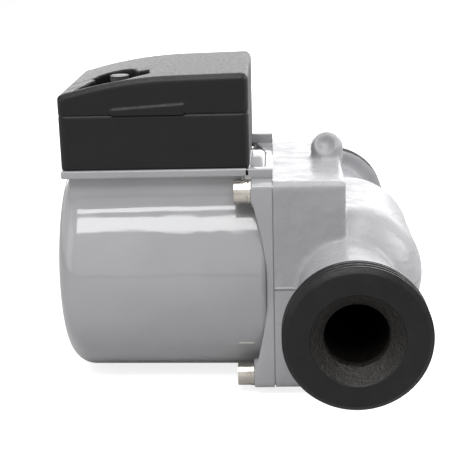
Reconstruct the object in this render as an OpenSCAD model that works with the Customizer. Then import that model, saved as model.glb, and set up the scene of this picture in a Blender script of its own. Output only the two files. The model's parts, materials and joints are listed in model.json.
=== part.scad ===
// Wet-rotor circulation pump with a three-speed terminal box on its motor.
// +Y runs along the port axis from inlet to outlet, +Z is up and the motor
// lies towards -X. The origin is on the port axis, halfway along the inlet
// thread. Most shapes are written about the pump centre, where the port axis
// meets the motor axis, and moved into place by at_pump_centre().

/* [Ports] */
// Length between the two port faces
pump_len = 180; // [170:1:220]
// Outside diameter of the port threads
thread_d = 47.8; // [44:0.1:54]
// Pitch of the port threads
thread_pitch = 2.309; // [2:0.001:2.4]
// Depth of the port threads
thread_depth = 1.3; // [0.8:0.1:1.5]
// Length of each threaded ring
thread_len = 9.7; // [9:0.1:14]
// Lead-in chamfer at each port face, across the radius
port_chamfer = 1.7; // [1:0.1:2]
// Diameter of the water bore in each port
port_bore = 21; // [18:0.5:23]
// Mouth diameter of the countersink in each port face
sink_d = 30; // [26:0.5:34]
// Depth of that countersink
sink_depth = 4.8; // [3:0.1:6]
// Diameter of the necks behind the threaded rings
neck_d = 34.6; // [32:0.2:38]

/* [Pump housing] */
// Distance from the port axis to the joint face of the motor
joint_off = 26; // [25:0.5:30]
// Distance from the housing screws to the upright edges of the joint flange
flange_side = 5.1; // [4.8:0.1:8]
// Distance from the housing screws to the top and bottom of the joint flange
flange_top = 4.25; // [4.25:0.05:8]
// Thickness of the housing block, from the joint face
block_t = 25.3; // [22:0.1:28]
// Corner rounding of the block and of the motor flange
flange_corner = 2.4; // [1:0.1:4]
// Radius of the round channel casting behind the block
bulge_r = 25.2; // [24:0.2:30]
// Offset of that casting's axis from the port axis, away from the motor
bulge_off = 3.2; // [2:0.1:6]
// Distance from the pump centre to the centre of each round end
bulge_y = 20.6; // [16:0.2:26]
// Radius of the round boss on top of the block
boss_r = 6.2; // [5:0.1:8]
// Radius of the dimple in that boss
boss_dimple_r = 4.2; // [2:0.1:4.5]

/* [Impeller] */
// Diameter of the impeller
impeller_d = 54; // [50:0.5:60]
// Passage width between the impeller's shrouds
vane_w = 6.5; // [4:0.1:7]
// Number of vanes
vane_count = 6; // [5:1:8]
// Thickness of each vane
vane_t = 1.6; // [1:0.1:2.5]
// Thickness of the two shrouds
shroud_t = 1.5; // [1:0.1:2]
// Inside diameter of the impeller's eye
eye_d = 20; // [16:0.5:20.5]
// Growth of the volute's radius over one turn
volute_growth = 5; // [2:0.1:5.5]

/* [Motor] */
// Length of the motor casting in front of the joint face
motor_len = 78.2; // [76:0.2:90]
// Wall of the motor casting round the stator, at the front
body_wall = 7; // [5:0.1:9]
// Growth of the motor casting's radius from its front to the flange
body_draft = 0.5; // [0.2:0.1:1.5]
// Radius of the round front edge
front_edge_r = 9; // [4:0.5:12]
// Thickness of the motor flange at its corners
motor_flange_t = 7.8; // [6.5:0.1:10]
// Thickness of the motor flange in the middle of each side
motor_flange_mid_t = 2.9; // [2.4:0.1:4]
// Distance from the laminated cores to the joint face
core_rear = 20; // [19.5:0.5:24]
// Depth of the stator's slots
slot_depth = 8; // [6:0.5:9]
// Number of stator slots
slot_count = 12; // [8:1:16]
// Wall of the rotor can
can_wall = 0.4; // [0.3:0.05:0.6]
// Diameter of the shaft
shaft_d = 8; // [6:0.5:9]
// Outside diameter of the two shaft bearings
bearing_d = 16; // [15:0.5:18]
// Length of each shaft bearing
bearing_len = 8; // [6:0.5:8.5]
// Diameter of the vent screw's head
vent_head_d = 22; // [16:0.5:26]
// Diameter of the vent screw's shank
vent_shank_d = 10; // [8:0.5:11]
// Diameter of the bare nameplate on the motor's front
nameplate_d = 58; // [45:0.5:60]

/* [Fasteners] */
// Gap between the motor casting and the washers of the housing screws
screw_gap = 2.9; // [1:0.1:5]
// Diameter of the housing screws
screw_d = 5; // [4:0.5:5.5]
// Head diameter of the housing screws
screw_head_d = 8.5; // [8:0.1:9]
// Head height of the housing screws
screw_head_h = 4.8; // [4:0.1:6]
// Thickness of the spring washers
washer_t = 1.2; // [0.8:0.1:1.6]
// Depth of the screws' thread in the pump housing
screw_grip = 13; // [8:0.5:16]

/* [Terminal box] */
// Distance of the box from the motor's front
box_front_gap = 2.7; // [1:0.1:4]
// Distance of the box from the joint face
box_gap = 8.1; // [8:0.1:11]
// Width of the terminal box
box_w = 63.2; // [62:0.2:72]
// Height of the box base, up to the cover
base_h = 19.6; // [19:0.2:22]
// Height of the cover at its low front edge
cover_front_h = 7; // [6.5:0.1:12]
// Wall of the base and of the cover
box_wall = 3; // [2.8:0.1:3.4]
// Rounding of the box's upright corners
box_corner = 3; // [2:0.2:5]
// Fall of the cover's flat top, in degrees
top_fall = 1.1; // [0:0.1:1.2]
// Radius of the curve at the front of the cover's top
top_curve_r = 150; // [140:1:300]
// Distance from the tall end to the start of that curve
top_curve_start = 26; // [24:0.5:40]
// Diameter of the speed knob's grip
knob_grip_d = 6.8; // [5:0.2:8]
// Diameter of the speed knob's dial
knob_dial_d = 13.6; // [11:0.2:14]
// Diameter of the motor capacitor
capacitor_d = 25; // [20:0.5:25]
// Length of the motor capacitor
capacitor_len = 40; // [30:0.5:41]
// Thread diameter of the cable gland
gland_d = 12; // [10:0.5:12]
// Bore of the gland's seal for the mains cable
gland_bore = 6.4; // [5:0.1:7]

/* [Hidden] */
$fn = 72;

// One overrun serves all cuts
over = 0.5;
// Clearance of parts that sit in one another without moving
snug = 0.05;
// Radial clearance of parts that run in one another
run = 0.05;
// Gap kept between a moving part and what stands round it
air = 0.35;

// Stations of the pump half along the motor axis, from the pump centre
joint_x = -joint_off;
can_flange_t = 0.6;
plate_t = 1.2;
gasket_t = 1.4;
seat_x = joint_x + can_flange_t + plate_t + gasket_t;
impeller_gap = 1.2;
impeller_x = joint_x + can_flange_t + plate_t + impeller_gap;
vane_x = impeller_x + shroud_t;
shroud_x = vane_x + vane_w;
eye_x = shroud_x + shroud_t;
volute_x = eye_x + impeller_gap;
hub_inset = 0.5;
hub_x = shroud_x - hub_inset;

// Stations of the motor half, from its front to the joint face
front_x = joint_x - motor_len;
front_wall = 5.2;
cavity_x = front_x + front_wall;
vent_boss_gap = 1;
vent_boss_x = cavity_x + vent_boss_gap;
vent_boss_len = 2;
pocket_x = vent_boss_x + vent_boss_len;
bearing_end = 1;
rear_bearing_x = pocket_x + bearing_end;
can_end_x = rear_bearing_x + bearing_len + bearing_end;
core_gap = 4;
core_x = can_end_x + core_gap;
core_end_x = joint_x - core_rear;
core_len = core_end_x - core_x;
hub_len = 3;
front_bearing_x = joint_x - hub_len - bearing_len;
shaft_over = 0.5;
shaft_end_x = rear_bearing_x - shaft_over;

// Radii, worked out from the impeller to the outside of the motor
impeller_r = impeller_d / 2;
volute_gap = 1.5;
volute_r = impeller_r + volute_gap + volute_growth;
seat_w = 3.1;
can_flange_r = volute_r + seat_w;
seal_land = 2.6;
stator_r = can_flange_r - seal_land;
body_r0 = stator_r + body_wall;
body_r1 = body_r0 + body_draft;
screw_r = screw_d / 2;
head_r = screw_head_d / 2;
washer_rim = 0.15;
washer_r = head_r + washer_rim;
screw_off = (body_r1 + washer_r + screw_gap) / sqrt(2);
screw_places = [for (y = [-1, 1], z = [-1, 1]) [y, z] * screw_off];
flange_y = screw_off + flange_side;
flange_z = screw_off + flange_top;

// Radii, worked out from the stator inwards to the rotor
stator_yoke = 3.8;
slot_out_r = stator_r - stator_yoke;
slot_in_r = slot_out_r - slot_depth;
tooth_tip = 1.6;
stator_in_r = slot_in_r - tooth_tip;
can_gap = 0.2;
can_out_r = stator_in_r - can_gap;
can_in_r = can_out_r - can_wall;
rotor_gap = 0.7;
sleeve_r = can_in_r - rotor_gap;
sleeve_wall = 0.4;
rotor_r = sleeve_r - sleeve_wall - snug;
end_ring_w = 6.85;
end_ring_in_r = rotor_r - end_ring_w;
end_ring_len = 3;

// Ports and water ways
port_y = pump_len / 2;
ring_y = port_y - thread_len;
crest_r = thread_d / 2;
neck_r = neck_d / 2;
port_r = port_bore / 2;
thread_land = 1.2;
chamfer_len = 1.2;
groove_count = floor((thread_len - thread_land - chamfer_len) / thread_pitch);
flank_share = 0.42;
root_share = 0.06;
bore_straight = 35;
duct_lap = 5;
duct_step = 1;
duct_r = port_r - duct_step;
eye_duct_x = 10;
eye_duct_y = 12;
duct_turn_y = 24;
outlet_duct_r = 7.5;
outlet_lap = 3;
outlet_turn_y = port_y - bore_straight + outlet_lap;

// Pump housing
bulge_waist = 0.2;
boss_x = -5.5;
boss_rise = 3.7;
boss_z = flange_z + boss_rise;
boss_root = 2;
boss_tilt = 59;
boss_turn = -100;
screw_hole_deep = 1;
recess_gap = 0.2;
recess_r = can_flange_r + recess_gap;
gasket_w = 4.6;
gasket_in_r = can_flange_r - gasket_w;

// Impeller and wear ring
eye_r = eye_d / 2;
eye_wall = 1.3;
eye_out_r = eye_r + eye_wall;
eye_neck = 2.8;
eye_neck_x = volute_x + eye_neck;
ring_wall = 2;
ring_in_r = eye_out_r + air;
ring_out_r = ring_in_r + ring_wall;
ring_len = 5;
ring_end_x = volute_x + ring_len;
volute_steps = 48;
vane_in_r = 11;
vane_inset = 0.3;
vane_sweep = -62;
vane_steps = 10;
hub_r = 7.2;
shaft_r = shaft_d / 2;
cone_len = 5.4;
cone_wall = 0.8;
cone_growth = 1;
cone_r0 = shaft_r + cone_wall;
cone_r1 = cone_r0 + cone_growth;
cone_slot = 1;
bleed_r = 1.5;
bleed_at_r = 15;

// Bearings, vent boss and shaft
bearing_r = bearing_d / 2;
plate_hub_wall = 1.2;
plate_hub_r = bearing_r + plate_hub_wall;
vent_r = vent_shank_d / 2;
vent_boss_wall = 3.6;
vent_boss_r = vent_r + vent_boss_wall;
thrust_x = front_bearing_x - air;
thrust_len = 2.7;
collar_len = 3;
thrust_step = 0.5;
thrust_r = bearing_r - thrust_step;
shaft_tip = 0.6;

// Stator windings and leads
slot_in_w = 4.2;
slot_out_w = 7.4;
slot_mouth = 1.6;
coil_gap = 0.3;
coil_over = 8;
coil_in_r = slot_in_r + coil_gap;
coil_out_r = slot_out_r - coil_gap;
lead_r = 0.9;
lead_pitch = 2.2;
lead_x = core_x - coil_over / 2;
lead_hole_r = 4.2;

// Motor casting
cavity_gap = 0.1;
cavity_r = stator_r + cavity_gap;
rear_round = 1.8;
dish_step = 1.9;
dish_r = body_r1 - dish_step;
dish_x = joint_x - motor_flange_mid_t;
flange_x = joint_x - motor_flange_t;
dish_slope = 0.42;
ear_r = 5.6;
bed_gap = 1.1;
bed_y = screw_off - washer_r - bed_gap;
bed_z = 20;
bed_drop = 1;
bed_top_z = body_r0 - bed_drop;
bed_front_in = 4.2;
bed_front_x = front_x + bed_front_in;
bed_rear_in = 10;
bed_rear_x = joint_x - bed_rear_in;
rail_t = 3;
rail_h = 2.8;
rail_front_in = 2.9;
rail_front_x = front_x + rail_front_in;
bed_lip = 2.4;
box_z = bed_top_z + bed_lip;
plate_recess = 0.6;
plate_sheet = 0.5;
plate_gap_r = 2;
oring_seat_r = 7.6;
oring_seat = 1.7;
oring_r = 0.85;
vent_head_t = 3.5;
vent_seat = 0.3;
vent_slot_w = 2;
vent_tip = 1.5;
vent_slot_t = 1.6;

// Housing screws
hex_key_r = 2.3;
hex_key_t = 2.6;
washer_split = 0.8;
washer_split_turn = 40;

// Terminal box
box_rear_x = joint_x - box_gap;
box_front_x = front_x + box_front_gap;
box_l = box_rear_x - box_front_x;
box_y = box_w / 2;
rail_lip = 1;
rail_y = box_y + rail_lip;
cover_z = box_z + base_h;
cover_h = cover_front_h + top_drop(box_l);
box_top_z = cover_z + cover_h;
floor_t = 2.6;
floor_z = box_z + floor_t;
cover_edge_r = 2.4;
inner_edge_r = 0.8;
top_steps = 14;
rim_groove = 1.3;
rim_gasket = 1.2;
rim_t = 1.1;
latch_w = 8;
latch_t = 1.4;
latch_h = 6;
latch_shares = [0.13, 0.75];
bar_proud = 0.6;
bar_shares = [0.285, 0.666];
bar_low = 2;
bar_high = 3.6;
mark_w = 0.8;
mark_t = 0.6;
mark_inset = 2;
mark_shares = [[0.075, 0.045], [0.105, 0.185], [0.205, 0.39]];

// Recess of the cover round the speed knob, as shares of the box's length and width
knob_shares = [0.301, 0.318];
pocket_shares = [0.266, 0.389];
pocket_r = 8;
window_shares = [[0.089, 0.047], [0.197, 0.396], [0.266, 0.389], [0.341, 0.32],
    [0.461, 0.339], [0.476, 0.188], [0.401, 0.104], [0.349, 0.047]];
pan_wall = 2;
pan_rise = 4.5;
pan_z = cover_z + pan_rise;
pan_end_shares = [0.5, 0.53];
knob_h = 6.8;
knob_top_z = pan_z + knob_h;
dial_gap = 0.4;
dial_z = pan_z + dial_gap;
dial_t = 1.2;
knob_stem_r = 2.9;
knob_slot_w = 1.2;
knob_slot_t = 0.8;
stem_lap = 5;

// What the terminal box holds
switch_size = 18;
switch_gap = 1;
switch_top_z = pan_z - pan_wall - switch_gap;
capacitor_r = capacitor_d / 2;
capacitor_x = box_rear_x - box_wall - capacitor_r - air;
capacitor_z = floor_z + capacitor_r + air;
tab_w = 5;
tab_t = 0.8;
tab_h = 6;
block_l = 24;
block_w = 14;
block_h = 12;
block_in = 7.3;
block_x = box_front_x + block_in;
box_screw_r = 2;
box_screw_head_r = 3.6;
box_screw_head = 2.2;
box_screw_deep = 8;
box_screw_gap = 0.2;
box_screw_y = box_y - box_wall - box_screw_head_r - box_screw_gap;
box_screw_in = 7.5;
box_screw_places = [for (x = [box_front_x + box_screw_in, box_rear_x - box_screw_in],
    y = [-1, 1]) [x, y * box_screw_y]];
earth_gap = 0.3;
earth_place = [capacitor_x - capacitor_r - earth_gap - box_screw_head_r, 0];
block_gap = 0.7;
block_y = box_screw_y - box_screw_head_r - block_gap - block_w;
pole_pitch = 6;
pole_r = 1.9;
pole_head = 5;
pole_places = [for (i = [-1 : 1])
    [block_x + block_l / 2 + i * pole_pitch, block_y + block_w / 2]];
wire_hole_r = 1.6;

// Cable gland in the far wall of the box base
gland_r = gland_d / 2;
gland_rim = 1.5;
gland_af = gland_d + 2 * gland_rim;
gland_in = 23.3;
gland_x = box_front_x + gland_in;
gland_z = floor_z + gland_af / sqrt(3) + air;
locknut_t = 3;
gland_flange_t = 4;
gland_thread = 8;
gland_nut_t = 9;
gland_nut_gap = 0.6;
gland_lip = 1.5;
gland_wall = 1.4;
gland_inner_r = gland_r - gland_wall;
gland_seal_r = gland_bore / 2;

// Moves what is written about the pump centre to the part's own origin
module at_pump_centre() {
    translate([0, pump_len / 2 - thread_len / 2, 0]) children();
}

// Turns points of [radius, x] about the motor axis
module turned(points) {
    rotate([0, 90, 0]) rotate_extrude() polygon(points);
}

// A round bar along the motor axis, moved sideways to [y, z]
module bar_x(x, length, r, at = [0, 0]) {
    translate([x, at[0], at[1]]) rotate([0, 90, 0]) cylinder(h = length, r = r);
}

// A tube along the motor axis
module tube_x(x, length, outer, inner, at = [0, 0]) {
    difference() {
        bar_x(x, length, outer, at);
        bar_x(x - over, length + 2 * over, inner, at);
    }
}

// A round bar along the port axis, moved sideways to [x, z]
module bar_y(y, length, r, at = [0, 0]) {
    translate([at[0], y, at[1]]) rotate([-90, 0, 0]) cylinder(h = length, r = r);
}

// An upright round bar
module bar_z(z, length, r, at = [0, 0]) {
    translate([at[0], at[1], z]) cylinder(h = length, r = r);
}

// Outlines of [y, z], drawn out along the motor axis
module along_x(x, length) {
    translate([x, 0, 0]) rotate([90, 0, 90]) linear_extrude(length) children();
}

// Outlines of [x, z], drawn out along the port axis
module along_y(y, length) {
    translate([0, y + length, 0]) rotate([90, 0, 0]) linear_extrude(length) children();
}

// A block given by its two opposite corners
module block(low, high) {
    translate(low) cube(high - low);
}

function arc(centre, r, from, to, steps = 6) = [for (i = [0 : steps])
    let (a = from + (to - from) * i / steps) centre + r * [cos(a), sin(a)]];

function round_rect(low, high, r) = concat(
    arc([high[0] - r, high[1] - r], r, 0, 90), arc([low[0] + r, high[1] - r], r, 90, 180),
    arc([low[0] + r, low[1] + r], r, 180, 270), arc([high[0] - r, low[1] + r], r, 270, 360));

function backwards(points) = [for (i = [len(points) - 1 : -1 : 0]) points[i]];

// A round duct between two points of the plane of both axes
module duct(from, to, r) {
    way = to - from;
    translate([from[0], from[1], 0]) rotate([0, 0, atan2(way[1], way[0])])
        rotate([0, 90, 0]) cylinder(h = norm(way), r = r);
}

// Points of [radius, y] of the outlet's threaded ring: a plain land at the
// shoulder, thread grooves, and the lead-in chamfer at the port face
function thread_groove(y) = [
    [crest_r, y - flank_share * thread_pitch],
    [crest_r - thread_depth, y - root_share * thread_pitch],
    [crest_r - thread_depth, y + root_share * thread_pitch],
    [crest_r, y + flank_share * thread_pitch]];

function thread_points() = concat([[0, ring_y], [crest_r, ring_y]],
    [for (i = [0 : groove_count - 1])
        each thread_groove(ring_y + thread_land + (i + 0.5) * thread_pitch)],
    [[crest_r, port_y - chamfer_len], [crest_r - port_chamfer, port_y], [0, port_y]]);

module port_ring() {
    rotate([-90, 0, 0]) rotate_extrude() polygon(thread_points());
}

module port_sink() {
    translate([0, port_y - sink_depth, 0]) rotate([-90, 0, 0])
        rotate_extrude() polygon([[0, -over], [port_r, -over], [port_r, 0],
            [sink_d / 2, sink_depth], [sink_d / 2, sink_depth + over], [0, sink_depth + over]]);
}

// The channel round the impeller, widening over one turn up to the outlet
function volute_points() = [for (i = [0 : volute_steps])
    let (turn = i / volute_steps)
        (impeller_r + volute_gap + volute_growth * turn) * [cos(360 * turn), sin(360 * turn)]];

module water_ways() {
    bore_end = port_y - bore_straight;
    for (side = [0, 1]) mirror([0, side, 0]) {
        bar_y(bore_end, bore_straight + over, port_r);
        port_sink();
    }
    duct([0, -bore_end - duct_lap], [eye_duct_x, -duct_turn_y], duct_r);
    bar_y(-duct_turn_y - duct_lap, duct_turn_y + duct_lap + eye_duct_y, duct_r, [eye_duct_x, 0]);
    bar_x(ring_end_x - over, eye_duct_x - ring_end_x + over, port_r);
    bar_x(volute_x - over, ring_len + over, ring_out_r + snug);
    duct([volute_x, duct_turn_y], [0, outlet_turn_y], outlet_duct_r);
    along_x(seat_x - over, volute_x - seat_x + over) polygon(volute_points());
    bar_x(joint_x - over, seat_x - joint_x + over, recess_r);
}

module boss() {
    dimple_ball = 2 * sqrt(boss_r * boss_r - boss_dimple_r * boss_dimple_r);
    translate([boss_x, 0, 0]) difference() {
        union() {
            bar_z(flange_z - boss_root, boss_z - flange_z + boss_root, boss_r - bulge_waist);
            translate([0, 0, boss_z]) sphere(r = boss_r);
        }
        translate([0, 0, boss_z]) rotate([0, boss_tilt, boss_turn])
            translate([0, 0, dimple_ball]) sphere(r = boss_r);
    }
}

// Outline of [y, z] of the joint between the two castings
module flange_outline() {
    polygon(round_rect([-flange_y, -flange_z], [flange_y, flange_z], flange_corner));
}

module pump_housing() {
    color("silver") at_pump_centre() difference() {
        union() {
            along_x(joint_x, block_t) flange_outline();
            for (side = [0, 1]) mirror([0, side, 0]) {
                translate([bulge_off, bulge_y, 0]) sphere(r = bulge_r);
                port_ring();
            }
            bar_y(-bulge_y, 2 * bulge_y, bulge_r - bulge_waist, [bulge_off, 0]);
            bar_y(-ring_y - thread_land, 2 * (ring_y + thread_land), neck_r);
            boss();
        }
        water_ways();
        for (at = screw_places)
            bar_x(joint_x - over, screw_grip + screw_hole_deep + over, screw_r + snug, at);
    }
}

module neck_ring() {
    color("gainsboro") at_pump_centre() tube_x(volute_x, ring_len, ring_out_r, ring_in_r);
}

function vane_side(side) = [for (i = [0 : vane_steps])
    let (way = i / vane_steps, r = vane_in_r + (impeller_r - vane_inset - vane_in_r) * way,
        a = vane_sweep * way + side * asin(vane_t / 2 / r)) r * [cos(a), sin(a)]];

module impeller() {
    color("darkslategray") at_pump_centre() {
        difference() {
            union() {
                bar_x(impeller_x, shroud_t, impeller_r);
                bar_x(impeller_x, hub_x - impeller_x, hub_r);
            }
            bar_x(impeller_x - over, hub_x - impeller_x + 2 * over, shaft_r + snug);
            turned([[0, hub_x - cone_len], [cone_r0 + snug, hub_x - cone_len],
                [cone_r1 + snug, hub_x], [cone_r1 + snug, hub_x + over], [0, hub_x + over]]);
        }
        for (i = [0 : vane_count - 1])
            rotate([i * 360 / vane_count, 0, 0]) along_x(vane_x - over, vane_w + over)
                polygon(concat(vane_side(1), backwards(vane_side(-1))));
    }
}

module impeller_shroud() {
    color("darkslategray") at_pump_centre()
        turned([[eye_r, shroud_x], [impeller_r, shroud_x], [impeller_r, eye_x],
            [eye_out_r, eye_x], [eye_out_r, eye_neck_x], [eye_r, eye_neck_x]]);
}

module split_cone() {
    color("goldenrod") at_pump_centre() difference() {
        turned([[shaft_r + snug, hub_x - cone_len], [cone_r0, hub_x - cone_len],
            [cone_r1, hub_x], [shaft_r + snug, hub_x]]);
        block([hub_x - cone_len - over, -cone_slot / 2, 0], [hub_x + over, cone_slot / 2, hub_r]);
    }
}

module bearing_plate() {
    plate_x = joint_x + can_flange_t;
    color("lightsteelblue") at_pump_centre() difference() {
        turned([[bearing_r + snug, front_bearing_x], [plate_hub_r, front_bearing_x],
            [plate_hub_r, plate_x], [can_flange_r, plate_x], [can_flange_r, plate_x + plate_t],
            [bearing_r + snug, plate_x + plate_t]]);
        for (side = [-1, 1])
            bar_x(plate_x - over, plate_t + 2 * over, bleed_r, [side * bleed_at_r, 0]);
    }
}

module housing_gasket() {
    color("dimgray") at_pump_centre()
        tube_x(seat_x - gasket_t, gasket_t, can_flange_r, gasket_in_r);
}

module shaft_bearing(x) {
    tube_x(x, bearing_len, bearing_r, shaft_r + run);
}

module front_bearing() {
    color("dimgray") at_pump_centre() shaft_bearing(front_bearing_x);
}

module rear_bearing() {
    color("dimgray") at_pump_centre() shaft_bearing(rear_bearing_x);
}

module thrust_bearing() {
    color("slategray") at_pump_centre()
        tube_x(thrust_x - thrust_len, thrust_len, thrust_r, shaft_r + snug);
}

module thrust_collar() {
    color("black") at_pump_centre()
        tube_x(thrust_x - thrust_len - collar_len, collar_len, thrust_r, shaft_r + snug);
}

module shaft() {
    color("whitesmoke") at_pump_centre()
        turned([[0, shaft_end_x], [shaft_r - shaft_tip, shaft_end_x],
            [shaft_r, shaft_end_x + shaft_tip], [shaft_r, hub_x - shaft_tip],
            [shaft_r - shaft_tip, hub_x], [0, hub_x]]);
}

module rotor_core() {
    color("gray") at_pump_centre() tube_x(core_x, core_len, rotor_r, shaft_r + snug);
}

module rotor_end_rings() {
    color("lightgray") at_pump_centre()
        for (x = [core_x - end_ring_len, core_end_x])
            tube_x(x, end_ring_len, rotor_r, end_ring_in_r);
}

module rotor_sleeve() {
    color("silver") at_pump_centre()
        tube_x(core_x - end_ring_len, core_len + 2 * end_ring_len, sleeve_r, rotor_r + snug);
}

module rotor_can() {
    color("silver") at_pump_centre()
        turned([[can_flange_r, joint_x + can_flange_t], [can_in_r, joint_x + can_flange_t],
            [can_in_r, can_end_x + can_wall], [bearing_r + snug, can_end_x + can_wall],
            [bearing_r + snug, pocket_x], [vent_r + run, pocket_x],
            [vent_r + run, vent_boss_x], [vent_boss_r, vent_boss_x],
            [vent_boss_r, pocket_x - can_wall], [bearing_r + snug + can_wall, pocket_x - can_wall],
            [bearing_r + snug + can_wall, can_end_x], [can_out_r, can_end_x],
            [can_out_r, joint_x], [can_flange_r, joint_x]]);
}

// One stator slot, or the copper in it when gap is set
module slot_outline(gap) {
    polygon([[slot_in_r + gap, -slot_in_w / 2 + gap], [slot_out_r - gap, -slot_out_w / 2 + gap],
        [slot_out_r - gap, slot_out_w / 2 - gap], [slot_in_r + gap, slot_in_w / 2 - gap]]);
}

module stator_core() {
    color("dimgray") at_pump_centre() along_x(core_x, core_len) difference() {
        circle(r = stator_r);
        circle(r = stator_in_r);
        for (i = [0 : slot_count - 1]) rotate(i * 360 / slot_count) {
            slot_outline(0);
            translate([stator_r / 2, -slot_mouth / 2])
                square([slot_in_r - stator_r / 2 + coil_gap, slot_mouth]);
        }
    }
}

module stator_windings() {
    color("chocolate") at_pump_centre() {
        for (x = [core_x - coil_over, core_end_x])
            tube_x(x, coil_over, coil_out_r, coil_in_r);
        for (i = [0 : slot_count - 1])
            rotate([i * 360 / slot_count, 0, 0])
                along_x(core_x - coil_gap, core_len + 2 * coil_gap) slot_outline(coil_gap);
    }
}

module stator_leads() {
    lead_z = floor_z + block_h / 2;
    color("saddlebrown") at_pump_centre()
        for (i = [-1 : 1]) {
            x = lead_x + i * lead_pitch;
            bar_z(coil_out_r, lead_z - coil_out_r, lead_r, [x, 0]);
            translate([x, 0, lead_z]) sphere(r = lead_r);
            bar_y(0, block_y, lead_r, [x, lead_z]);
        }
}

// The motor casting's outer form: a slightly tapering drum with a round front edge
module motor_drum() {
    turned(concat([[0, front_x]],
        arc([body_r0 - front_edge_r, front_x + front_edge_r], front_edge_r, -90, 0, 12),
        [[body_r1, dish_x - rear_round], [dish_r, dish_x], [dish_r, joint_x], [0, joint_x]]));
}

// What the cone round the drum takes off the motor flange, apart from its four ears
module flange_dish() {
    low_x = flange_x - over;
    difference() {
        turned([[0, low_x], [dish_r + (dish_x - low_x) / dish_slope, low_x],
            [dish_r, dish_x], [0, dish_x]]);
        for (at = screw_places) bar_x(low_x - over, motor_flange_t + 2 * over, ear_r, at);
    }
}

// Bed and rails that carry the terminal box
module box_bed() {
    block([bed_front_x, -bed_y, bed_z], [bed_rear_x, bed_y, bed_top_z]);
    block([rail_front_x, -rail_y, box_z - rail_h], [box_rear_x, rail_y, box_z]);
    for (side = [0, 1]) mirror([0, side, 0])
        block([box_rear_x - over, rail_y - rail_t, flange_z - over], [joint_x, rail_y, box_z]);
}

module stator_housing() {
    color("silver") at_pump_centre() difference() {
        union() {
            motor_drum();
            difference() {
                along_x(flange_x, motor_flange_t) flange_outline();
                flange_dish();
            }
            box_bed();
        }
        bar_x(cavity_x, joint_x - cavity_x + over, cavity_r);
        bar_x(front_x - over, cavity_x - front_x + 2 * over, vent_r + air);
        bar_x(front_x - over, oring_seat + over, oring_seat_r);
        tube_x(front_x - over, plate_recess + over, nameplate_d / 2 + snug,
            vent_head_d / 2 + plate_gap_r - snug);
        for (at = screw_places)
            bar_x(flange_x - over, motor_flange_t + 2 * over, screw_r + snug, at);
        bar_z(0, box_z + over, lead_hole_r, [lead_x, 0]);
        for (at = concat(box_screw_places, [earth_place]))
            bar_z(floor_z - box_screw_deep, box_screw_deep, box_screw_r + snug, at);
    }
}

module nameplate() {
    color("lightgray") at_pump_centre()
        tube_x(front_x + plate_recess - plate_sheet, plate_sheet, nameplate_d / 2,
            vent_head_d / 2 + plate_gap_r);
}

module vent_screw() {
    head_x = front_x - vent_seat - vent_head_t;
    color("gold") at_pump_centre() difference() {
        union() {
            bar_x(head_x, vent_head_t, vent_head_d / 2);
            bar_x(front_x - vent_seat - over, vent_boss_x - front_x + vent_seat + over
                + vent_tip, vent_r);
        }
        block([head_x - over, -vent_head_d, -vent_slot_w / 2],
            [head_x + vent_slot_t, vent_head_d, vent_slot_w / 2]);
    }
}

module vent_o_ring() {
    color("black") at_pump_centre() translate([front_x + oring_seat - oring_r, 0, 0])
        rotate([0, 90, 0]) rotate_extrude()
            translate([vent_r + air + oring_r, 0]) circle(r = oring_r, $fn = 24);
}

module housing_screws() {
    under_head_x = flange_x - washer_t;
    color("gainsboro") at_pump_centre() for (at = screw_places) difference() {
        union() {
            bar_x(under_head_x - screw_head_h, screw_head_h, head_r, at);
            bar_x(under_head_x - over, joint_x + screw_grip - under_head_x + over, screw_r, at);
        }
        translate([under_head_x - screw_head_h - over, at[0], at[1]]) rotate([0, 90, 0])
            cylinder(h = hex_key_t + over, r = hex_key_r, $fn = 6);
    }
}

module spring_washers() {
    color("gray") at_pump_centre() for (at = screw_places) difference() {
        tube_x(flange_x - washer_t, washer_t, washer_r, screw_r + snug, at);
        translate([0, at[0], at[1]]) rotate([washer_split_turn, 0, 0])
            block([flange_x - washer_t - over, 0, -washer_split / 2],
                [flange_x + over, washer_r + over, washer_split / 2]);
    }
}

// Outline of [x, y] of the terminal box, drawn in by inset
function box_outline(inset) = round_rect([box_front_x + inset, -box_y + inset],
    [box_rear_x - inset, box_y - inset], inset < box_corner ? box_corner - inset : inner_edge_r);

module box_rim(outer, inner) {
    difference() {
        polygon(box_outline(outer));
        polygon(box_outline(inner));
    }
}

module terminal_box_base() {
    color("#262626") at_pump_centre() difference() {
        translate([0, 0, box_z]) linear_extrude(base_h) polygon(box_outline(0));
        translate([0, 0, floor_z]) linear_extrude(base_h) polygon(box_outline(box_wall));
        translate([0, 0, cover_z - rim_t]) linear_extrude(rim_t + over)
            box_rim((box_wall - rim_groove) / 2, (box_wall + rim_groove) / 2);
        bar_z(box_z - over, floor_t + 2 * over, lead_hole_r, [lead_x, 0]);
        for (at = concat(box_screw_places, [earth_place]))
            bar_z(box_z - over, floor_t + 2 * over, box_screw_r + snug, at);
        bar_y(box_y - box_wall - over, box_wall + 2 * over, gland_r + snug, [gland_x, gland_z]);
    }
}

module box_gasket() {
    color("dimgray") at_pump_centre() translate([0, 0, cover_z - rim_t]) linear_extrude(rim_t)
        box_rim((box_wall - rim_gasket) / 2, (box_wall + rim_gasket) / 2);
}

// Fall of the cover's top at a distance from its tall end
function top_drop(d) = d * tan(top_fall)
    + (d > top_curve_start ? pow(d - top_curve_start, 2) / (2 * top_curve_r) : 0);

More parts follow.
